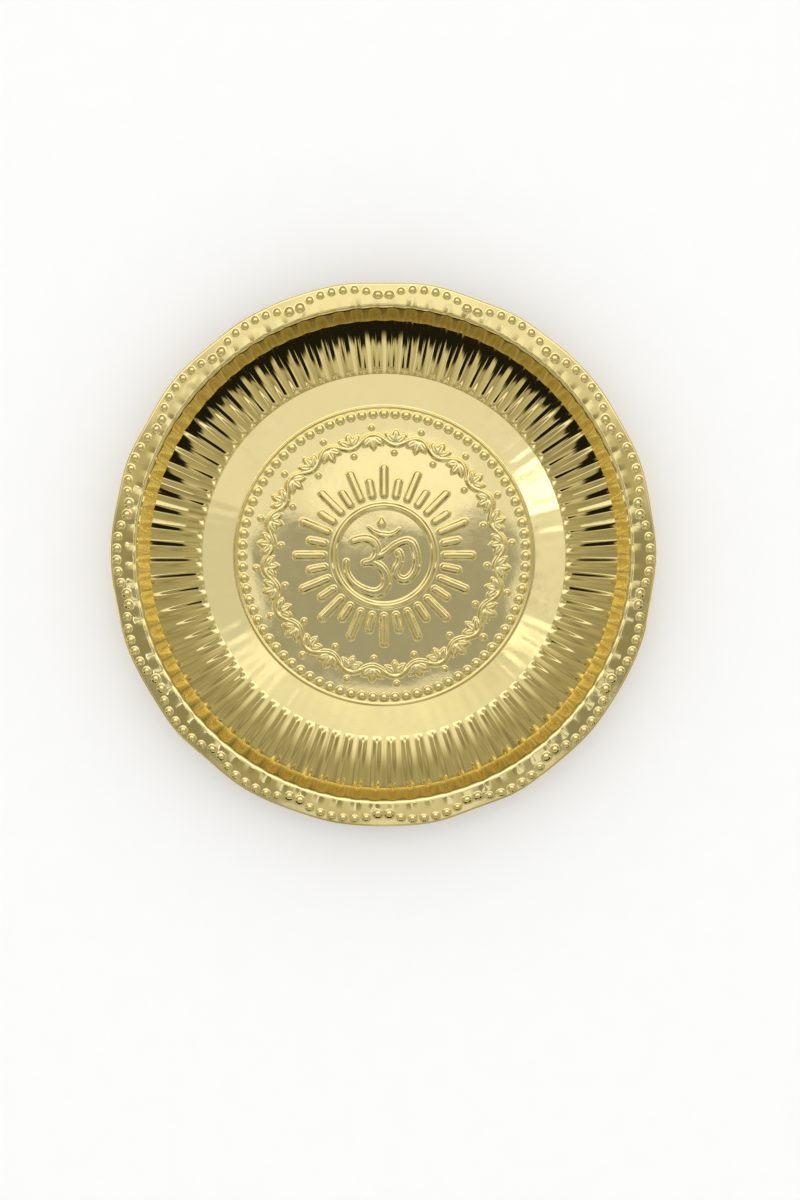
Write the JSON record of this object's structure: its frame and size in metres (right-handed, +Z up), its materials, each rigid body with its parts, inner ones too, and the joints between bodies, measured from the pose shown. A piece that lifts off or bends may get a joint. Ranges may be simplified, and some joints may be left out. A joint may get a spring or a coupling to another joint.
{
  "type": "puja thali",
  "caption": "Round shallow puja thali of pressed brass sheet with a fluted wall, a beaded rim and an embossed floor of sun rays and an Om sign, for carrying ritual offerings.",
  "frame": {"origin": "middle of the plate, on the surface that it stands on", "axes": "+Z up out of the dish, +Y towards the top of the Om sign, +X to its right"},
  "size_m": [0.17, 0.17, 0.0188],
  "materials": {
    "brass": "polished"
  },
  "bodies": {
    "root": {"om_medallion": "brass", "sun_ray_band": "brass", "leaf_band": "brass", "bead_ring": "brass", "floor_ring": "brass", "fluted_wall": "brass", "collar": "brass", "beaded_rim": "brass", "rolled_edge": "brass"}
  },
  "joints": []
}
